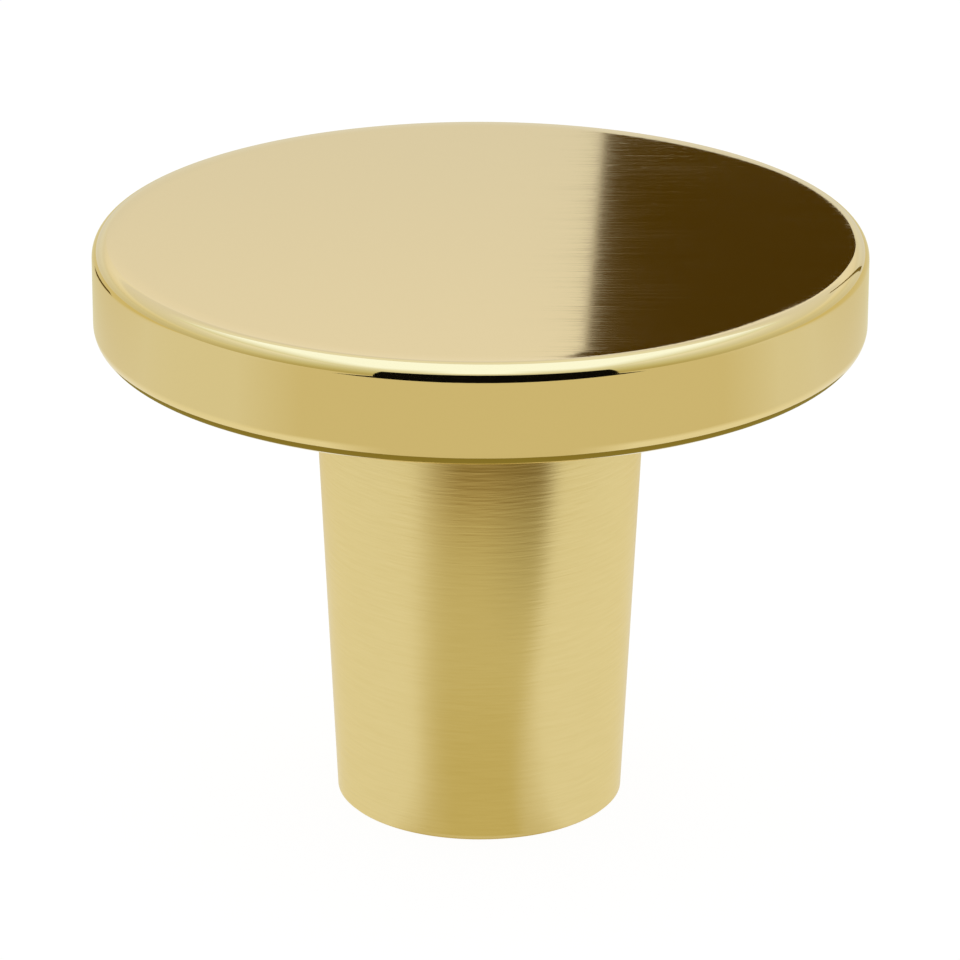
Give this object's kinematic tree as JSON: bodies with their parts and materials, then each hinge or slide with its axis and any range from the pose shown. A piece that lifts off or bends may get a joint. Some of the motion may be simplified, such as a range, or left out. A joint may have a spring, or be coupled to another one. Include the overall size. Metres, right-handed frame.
{
  "type": "cabinet knob",
  "caption": "Round flat-headed cabinet knob on a slim tapered stem, a solid brass turning with a blind threaded hole in its base for a screw from behind the door.",
  "frame": {"origin": "centre of the stem's base face, where the knob meets the door or drawer front", "axes": "+Z along the turning axis, from the base out to the head's flat face; the knob is round about Z, and X and Y lie in the door's plane"},
  "size_m": [0.033, 0.033, 0.0254],
  "materials": {
    "brass": "lacquered brass: finely brushed face and stem, polished rim"
  },
  "bodies": {
    "root": {"knob": "brass"}
  },
  "joints": []
}
